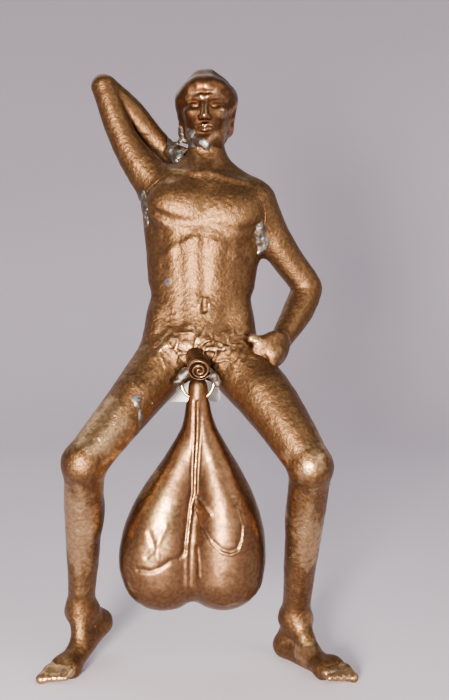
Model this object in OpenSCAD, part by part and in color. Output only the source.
// Cast figurine: a standing figure soldered up from six castings, with a two-lobed
// pendant that hangs from a split ring in a notch at the crotch.
// Millimetres, +Z up, the figure faces -Y, and its soles stand on z = 0.

/* [Trunk] */
// Half width of the ribcage
chest_w = 18.6; // [17:0.2:20]
// Half depth of the ribcage, front to back
chest_d = 11.2; // [10:0.2:12]
// Half width of the waist
waist_w = 16.2; // [15:0.2:17]
// Radius of the neck
neck_r = 6; // [5:0.1:6.5]

/* [Ring and lug] */
// Radius of the split ring to the middle of its wire
ring_r = 5; // [4.8:0.05:5.2]
// Diameter of the ring's wire
wire_d = 1.1; // [0.8:0.05:1.2]
// Radius of the bore in the lug
lug_bore_r = 1.35; // [1.3:0.05:1.5]
// Radius of the bore in the pendant's neck
eye_bore_r = 1.5; // [1.45:0.05:1.6]

/* [Pendant] */
// Half depth of the lobes, front to back
lobe_d = 11; // [8:0.5:12]
// Height of the lowest point of the lobes
lobe_bottom = 19.6; // [18:0.1:22]

/* [Mounting pad] */
// Width of the adhesive pad
pad_w = 18; // [14:0.5:20]
// Height of the adhesive pad
pad_h = 24; // [20:0.5:28]
// Thickness of the adhesive pad
pad_t = 3; // [2:0.5:4]

/* [Hidden] */

ball_fn = 20; // facets round every ball that the castings are hulled from
tenon_r = 2; // locating tenon on the end of each limb casting
tenon_gap = 0.1; // clearance of a tenon in its socket
plug_gap = 0.05; // clearance round the belly plug
far = 400; // larger than the figure, for trimming
frame_shift = [0.18, 6.11, 0]; // puts the origin under the middle of the whole figure

// Joint centres of the figure's skeleton
neck_base = [2, 1.5, 157];
neck_top = [2, 1.2, 168];
skull = [1.8, 1.6, 180.5];
raised_shoulder = [-13, 1.5, 152.5];
raised_elbow = [-31, -1, 184.6];
raised_wrist = [-14.6, 7.5, 169.2];
akimbo_shoulder = [18.5, 1.5, 147.5];
akimbo_elbow = [35.4, 7.5, 120.4];
akimbo_wrist = [27, -0.5, 104.6];
right_hip = [-10, 0, 98.5];
right_knee = [-33.8, -20, 66.5];
right_ankle = [-38, -1.5, 18];
left_hip = [10, 0, 98];
left_knee = [33.6, -20, 65.5];
left_ankle = [31, 1, 15.5];

// The split ring hangs in a plane square to Y
ring_c = [-0.5, -8, 89.7];
turn_pitch = 0.9; // between the ring's two turns
lug_t = 2.4; // thickness of the lug along X
lug_r = 2.6; // radius of the lug round its bore
eye_drop = 0.45; // the straight eye bore sits this far above the ring's lowest wire

// The notch in the crotch that the ring and the pendant's neck hang in
notch_r = 6; // half its width, and the radius of its arched roof round the ring
notch_back = -1; // its rear wall, along Y
neck_room_r = 7; // what the pendant's neck sweeps as it swings
neck_room_w = 6.8;
ring_room_w = 2.8; // what the ring's two turns need, with a gap on each side

pad_c = [-2.5, 13, 94.5];
pad_corner = 1.6;

// ---------------------------------------------------------------- shared shapes

module placed() {
    translate(frame_shift) children();
}

// Two balls and the taper between them
module taper(a, b, ra, rb) {
    hull() {
        translate(a) sphere(ra, $fn = ball_fn);
        translate(b) sphere(rb, $fn = ball_fn);
    }
}

// A chain of tapers through a list of [point, radius]
module limb(stations) {
    for (i = [0 : len(stations) - 2])
        taper(stations[i][0], stations[i + 1][0], stations[i][1], stations[i + 1][1]);
}

module egg(c, size, turn = [0, 0, 0]) {
    translate(c) rotate(turn) scale(size) sphere(1, $fn = ball_fn + 6);
}

// A cylinder from point a towards point b
module rod(a, b, r, $fn = 24) {
    d = b - a;
    translate(a)
        rotate([0, acos(d.z / norm(d)), atan2(d.y, d.x)])
            cylinder(r = r, h = norm(d));
}

function lerp(a, b, t) = a + (b - a) * t;

// A closed tube through rings of [x, z, half width, half depth], all centred on depth y
module rings_body(rows, y, sides = 20) {
    n = len(rows);
    pts = [for (r = rows, k = [0 : sides - 1])
        [r[0] + r[2] * cos(360 * k / sides), y + r[3] * sin(360 * k / sides), r[1]]];
    walls = [for (i = [0 : n - 2], k = [0 : sides - 1]) let (m = (k + 1) % sides)
        each [[i * sides + k, i * sides + m, (i + 1) * sides + k],
            [i * sides + m, (i + 1) * sides + m, (i + 1) * sides + k]]];
    top = [for (k = [0 : sides - 1]) sides - 1 - k];
    bottom = [for (k = [0 : sides - 1]) (n - 1) * sides + k];
    polyhedron(pts, concat(walls, [top], [bottom]));
}

// ---------------------------------------------------------------- the castings, whole

module trunk_shape() {
    egg([1, 0.5, 141.5], [chest_w, chest_d, 19.5]);
    egg([0.4, 0, 121], [waist_w, 9.8, 20]);
    egg([0, 0.8, 103.5], [16.8, 11.2, 13]);
    taper([-8.5, 1.5, 150.5], [14, 1.5, 148.5], 6.8, 6.4);
    taper([2, 2, 160], [-8.5, 1.8, 153.5], 5, 5.2);
    taper([2, 2, 160], [14, 1.8, 150.5], 5, 5.2);
    taper(neck_base, lerp(neck_base, neck_top, 0.7), neck_r + 0.4, neck_r);
    for (side = [-1, 1]) {
        taper([side * 7.5, 6, 96.5], [side * 8.5, 4.5, 102], 7, 7);
        taper([1 + side * 5.5, -6, 144], [1 + side * 11, -3, 146], 5.2, 5);
        taper([1 + side * 13, 2, 136], [1 + side * 12, 2, 126], 5.6, 4.8);
    }
}

module head_shape() {
    taper(neck_top, lerp(neck_top, neck_base, 0.3), neck_r, neck_r);
    egg([skull.x, skull.y + 0.8, skull.z], [10.3, 11.6, 10.4], [-15, 0, 0]);
    taper([skull.x, -5.5, 171.4], [skull.x, -2.5, 177.4], 4.2, 7.2);
    for (side = [-1, 1]) {
        taper([skull.x + side * 7, 2.5, 182], [skull.x + side * 8, 1.5, 175.5], 3, 2.7);
        taper([skull.x + side * 8, 1.5, 175.5], [skull.x + side * 6.2, 4, 167], 2.7, 2.3);
    }
    taper([skull.x, -8.9, 180], [skull.x, -10.4, 177.2], 0.9, 1.2);
    taper([skull.x - 4, -6.8, 184.4], [skull.x + 4, -6.8, 184.4], 2.6, 2.6);
    taper([skull.x - 2.2, -1.6, 188.4], [skull.x + 2.6, -0.8, 188.6], 2.4, 2);
    taper([skull.x, 6, 178], [skull.x, 6, 170], 7.6, 5);
}

module raised_arm_shape() {
    limb([[raised_shoulder, 6.9], [[-17.8, 1, 157.6], 6.2], [[-24.8, 0, 168.4], 4.8],
        [raised_elbow, 4.1]]);
    limb([[[-29.8, 0.6, 184.2], 4.3], [[-22.4, 4.5, 177.2], 4.9], [raised_wrist, 3.9]]);
    limb([[raised_wrist, 3.7], [[-10.4, 8.6, 165.4], 3.9]]);
    for (k = [0 : 3])
        limb([[[-10 + 0.4 * k, 9.2, 167.8 - 1.7 * k], 1.6],
            [[-4.8 + 0.2 * k, 10.2, 166.6 - 1.6 * k], 1.5]]);
}

module akimbo_arm_shape() {
    limb([[akimbo_shoulder, 6.8], [[23, 2.6, 138], 6.1], [[28.6, 5, 129.4], 5.5],
        [akimbo_elbow, 5.2]]);
    limb([[akimbo_elbow, 5.2], [[32.2, 4.8, 113], 5.2], [akimbo_wrist, 4.2]]);
    limb([[akimbo_wrist, 4.1], [[23.6, -6, 99.8], 4.3], [[23.4, -7.4, 95.8], 2.6]]);
    taper([21, -7, 102], [16.6, -8, 104.4], 2, 1.5);
    for (k = [0 : 3])
        taper([24.6 - 1.7 * k, -8.6, 95.4 + 1.1 * k], [23.6 - 1.7 * k, -5.6, 92.8 + 0.9 * k], 1.7, 1.5);
}

// A foot: heel, instep, ball and five toes, with the big toe on the inner side
module foot_shape(ankle, heel, ball, toe, inner) {
    across = cross((toe - heel) / norm(toe - heel), [0, 0, 1]) * inner;
    taper(ankle, heel, 4.4, 3.8);
    taper(ankle, lerp(heel, ball, 0.55) + [0, 0, 2], 4.2, 3.9);
    taper(heel, ball + across * 1.6, 3.6, 3.2);
    taper(heel, ball - across * 1.9, 3.4, 2.9);
    taper(ball + across * 1.9, ball - across * 2.2, 3.2, 2.8);
    for (k = [0 : 4])
        taper(ball + across * (3.3 - 1.75 * k) * 0.9,
            toe + across * (3.6 - 1.75 * k) - (toe - ball) * 0.085 * k,
            k == 0 ? 2.2 : 1.7, k == 0 ? 1.9 : 1.35);
}

module right_leg_shape() {
    limb([[right_hip, 10.4], [[-22.5, -10, 81.5], 8], [right_knee, 6.8]]);
    limb([[right_knee, 6.8], [[-35, -14, 54], 6.5], [[-36.4, -7.5, 36], 5.5],
        [right_ankle, 4.2]]);
    foot_shape(right_ankle - [0, 0, 1], [-33, 4.5, 10], [-40.5, -12.4, 2.8],
        [-44, -19, 1.5], 1);
}

module left_leg_shape() {
    limb([[left_hip, 10.4], [[22.8, -9.4, 82.5], 9.4], [left_knee, 6.7]]);
    limb([[left_knee, 6.7], [[32.8, -14, 53], 6.8], [[31.8, -7.4, 36], 5.6],
        [left_ankle, 4.6]]);
    foot_shape(left_ankle - [0, 0, 2], [28, 4, 3], [39.8, -12.6, 2.6], [43.8, -18.6, 1.5], -1);
}

// The notch, open at the front and underneath
module notch() {
    translate([ring_c.x, notch_back, ring_c.z]) rotate([90, 0, 0])
        cylinder(r = notch_r, h = far, $fn = 40);
    translate([ring_c.x - notch_r, notch_back - far, ring_c.z - far])
        cube([2 * notch_r, far, far]);
}

// What the ring, the lug, the pad and the belly plug need kept clear in the castings
module seats() {
    notch();
    lug_blank();
    pad_blank();
    plug_blank(plug_gap);
}

module above_floor() {
    translate([-far / 2, -far / 2, 0]) cube(far);
}

// ---------------------------------------------------------------- nodes

module torso() {
    color("#8a6238") placed() difference() {
        trunk_shape();
        seats();
        for (j = tenons()) rod(j[1], j[0], tenon_r + tenon_gap);
    }
}

// Each limb's tenon: its root in the limb and its tip in the trunk
function tenons() = [
    [[2, 1.4, 174], [2, 1.5, 162]],
    [[-19, 1, 159], [-7, 1.5, 149.5]],
    [[23, 2.5, 140], [13, 1.5, 148.5]],
    [[-15, -3, 92.5], [-7, 1, 103]],
    [[15, -3, 92], [7, 1, 103]]];

module tenon(k) {
    rod(tenons()[k][0], lerp(tenons()[k][1], tenons()[k][0], 0.04), tenon_r);
}

// A limb casting is coped to the trunk and keeps its tenon
module coped(k) {
    union() {
        difference() {
            intersection() {
                children();
                above_floor();
            }
            trunk_shape();
            seats();
        }
        tenon(k);
    }
}

module head() {
    color("#7a5230") placed() coped(0) head_shape();
}

module raised_arm() {
    color("#8a6238") placed() difference() {
        coped(1) raised_arm_shape();
        head_shape();
    }
}

module akimbo_arm() {
    color("#8a6238") placed() difference() {
        coped(2) akimbo_arm_shape();
        left_leg_shape();
    }
}

module right_leg() {
    color("#8a6238") placed() coped(3) right_leg_shape();
}

module left_leg() {
    color("#8a6238") placed() difference() {
        coped(4) left_leg_shape();
        right_leg_shape();
    }
}

module stub_shape() {
    limb([[[-1.4, -4, 99.8], 3.8], [[-1.2, -7, 99], 3.8], [[-0.9, -10, 97.8], 3.6],
        [[-0.4, -13, 96.5], 3.4], [[0.2, -16, 95.1], 3.3]]);
    // The end steps in towards its middle, like a coil
    translate([0.4, -17.4, 94.5]) rotate([66, 0, 4])
        for (k = [0 : 3])
            translate([0, 0, k * 0.7]) scale([1, 1, 0.4])
                sphere(3.3 - 0.6 * k, $fn = ball_fn);
}

module groin_stub() {
    color("#6d4526") placed() difference() {
        stub_shape();
        trunk_shape();
        lug_blank();
        moving_room();
        right_leg_shape();
        left_leg_shape();
    }
}

// A tab that hangs from the top of the notch, with its bore along X
module lug_blank() {
    translate([ring_c.x - lug_t / 2, ring_c.y, ring_c.z + ring_r]) rotate([0, 90, 0])
        cylinder(r = lug_r, h = lug_t, $fn = 40);
    translate([ring_c.x - lug_t / 2, ring_c.y - lug_r, ring_c.z + ring_r])
        cube([lug_t, 2 * lug_r, 5.5]);
}

module ring_lug() {
    color("#8d8b86") placed() difference() {
        lug_blank();
        translate([ring_c.x, ring_c.y, ring_c.z + ring_r - 0.05]) rotate([0, 90, 0])
            cylinder(r = lug_bore_r, h = 3 * lug_t, center = true, $fn = 40);
    }
}

module split_ring() {
    color("#b59a63") placed() translate(ring_c) rotate([90, 0, 0])
        rotate_extrude($fn = 72) {
            translate([ring_r, turn_pitch / 2]) circle(d = wire_d, $fn = 24);
            translate([ring_r, -turn_pitch / 2]) circle(d = wire_d, $fn = 24);
        }
}

// Rows of [x, z, half width, half depth as a share of lobe_d], from the neck to a lobe's foot.
// The left lobe is the deeper one, so that the pendant hangs straight under the ring.
neck_rows = [[-0.4, 90.9, 1.2, 0.1], [-0.4, 90.3, 2.1, 0.17], [-0.4, 88.8, 2.6, 0.22],
    [-0.4, 85.5, 2.95, 0.27], [-0.4, 82.5, 3.1, 0.29]];
right_rows = concat(neck_rows, [[-1.1, 76.5, 4, 0.36], [-3.6, 67.6, 6.2, 0.54],
    [-6.8, 59, 8.3, 0.74], [-10, 50.5, 10.7, 0.9], [-12.2, 42.5, 12, 0.99],
    [-13.2, 35.5, 12.3, 1], [-13.2, 29.5, 11.3, 0.92], [-13.4, 25, 8.9, 0.72],
    [-13.8, 21.6, 5.4, 0.42], [-14, lobe_bottom + 0.4, 2.6, 0.18]]);
left_rows = concat(neck_rows, [[0.5, 76.5, 4.5, 0.36], [2.8, 67.6, 6.4, 0.54],
    [5.6, 59, 8.5, 0.74], [7.6, 50.5, 10.5, 0.9], [8.8, 42.5, 11.6, 0.99],
    [9, 35.5, 11.8, 1], [8.6, 29.5, 11.4, 0.92], [8.9, 25, 9.8, 0.72],
    [9.4, 21.3, 7, 0.42], [9.7, lobe_bottom, 3.2, 0.16]]);

function deep(rows, share) = [for (r = rows) [r[0] + 0.3, r[1], r[2], r[3] * lobe_d * share]];

module pendant() {
    color("#94703c") placed() difference() {
        union() {
            rings_body(deep(right_rows, 0.93), ring_c.y);
            rings_body(deep(left_rows, 1.07), ring_c.y);
        }
        translate([ring_c.x, ring_c.y, ring_c.z - ring_r + eye_drop]) rotate([0, 90, 0])
            cylinder(r = eye_bore_r, h = 4 * ring_r, center = true, $fn = 40);
    }
}

// A round plug that closes the core-pin hole in the belly
module plug_blank(gap = 0) {
    rod([-10.6, -8, 121.5], [-9.2, -3, 121.2], 1.6 + gap);
}

module belly_plug() {
    color("#a9a49a") placed() plug_blank();
}

module pad_blank() {
    translate(pad_c) rotate([90, 0, 0]) linear_extrude(pad_t, center = true) {
        square([pad_w - 2 * pad_corner, pad_h], center = true);
        square([pad_w, pad_h - 2 * pad_corner], center = true);
        for (i = [-1, 1], k = [-1, 1])
            translate([i * (pad_w / 2 - pad_corner), k * (pad_h / 2 - pad_corner)])
                circle(pad_corner, $fn = 32);
    }
}

module mounting_pad() {
    color("#f2f1ec") placed() pad_blank();
}

// Solder is what is left of a blob outside every casting
module solder(stations) {
    color("#8f8d88") placed() difference() {
        limb(stations);
        trunk_shape();
        head_shape();
        raised_arm_shape();
        akimbo_arm_shape();
        right_leg_shape();
        left_leg_shape();
        stub_shape();
        seats();
    }
}

module solder_raised_armpit() {
    solder([[[-17, -1, 151], 3], [[-18.3, 1, 146], 2.6], [[-18.4, 2, 142], 2.2]]);
}

module solder_akimbo_armpit() {
    solder([[[16.5, -3, 142], 3.4], [[18.4, -1, 136], 3], [[19, 0, 132], 2.4]]);
}

module solder_hand() {
    solder([[[-6, 5.5, 174], 2], [[-5.4, 6, 169], 2.6], [[-4.6, 5.5, 163], 2]]);
}

module solder_throat() {
    solder([[[-3, -3.6, 168], 2.4], [[-0.5, -4.8, 167], 2.2], [[2.5, -5.2, 167], 1.6]]);
}

// Solder wiped across the front of the notch under the stub, clear of the ring behind it
module solder_groin() {
    color("#8f8d88") placed() difference() {
        limb([[[-6.6, -10.6, 89.8], 1.5], [[-5.2, -11.2, 92.2], 1.7], [[-2.8, -11.3, 93.4], 1.5],
            [[2, -11.3, 93.4], 1.5], [[4.4, -11.2, 92.2], 1.7], [[5.8, -10.6, 89.8], 1.5]]);
        castings_at_notch();
        stub_shape();
        moving_room();
    }
}

// The castings round the notch, cut back to its walls
module castings_at_notch() {
    difference() {
        union() {
            trunk_shape();
            right_leg_shape();
            left_leg_shape();
        }
        notch();
    }
    lug_blank();
}

// The room that the ring and the pendant's neck need as they turn
module moving_room() {
    translate([ring_c.x, ring_c.y, ring_c.z - ring_r + eye_drop]) rotate([0, 90, 0])
        cylinder(r = neck_room_r, h = neck_room_w, center = true, $fn = 40);
    translate([ring_c.x, ring_c.y, ring_c.z]) rotate([90, 0, 0])
        cylinder(r = notch_r, h = ring_room_w, center = true, $fn = 40);
}

module solder_thigh() {
    solder([[[-19, -17, 84.5], 2], [[-20.5, -17.5, 83.5], 2]]);
}

torso();
head();
raised_arm();
akimbo_arm();
right_leg();
left_leg();
groin_stub();
ring_lug();
split_ring();
pendant();
belly_plug();
mounting_pad();
solder_raised_armpit();
solder_akimbo_armpit();
solder_hand();
solder_throat();
solder_groin();
solder_thigh();
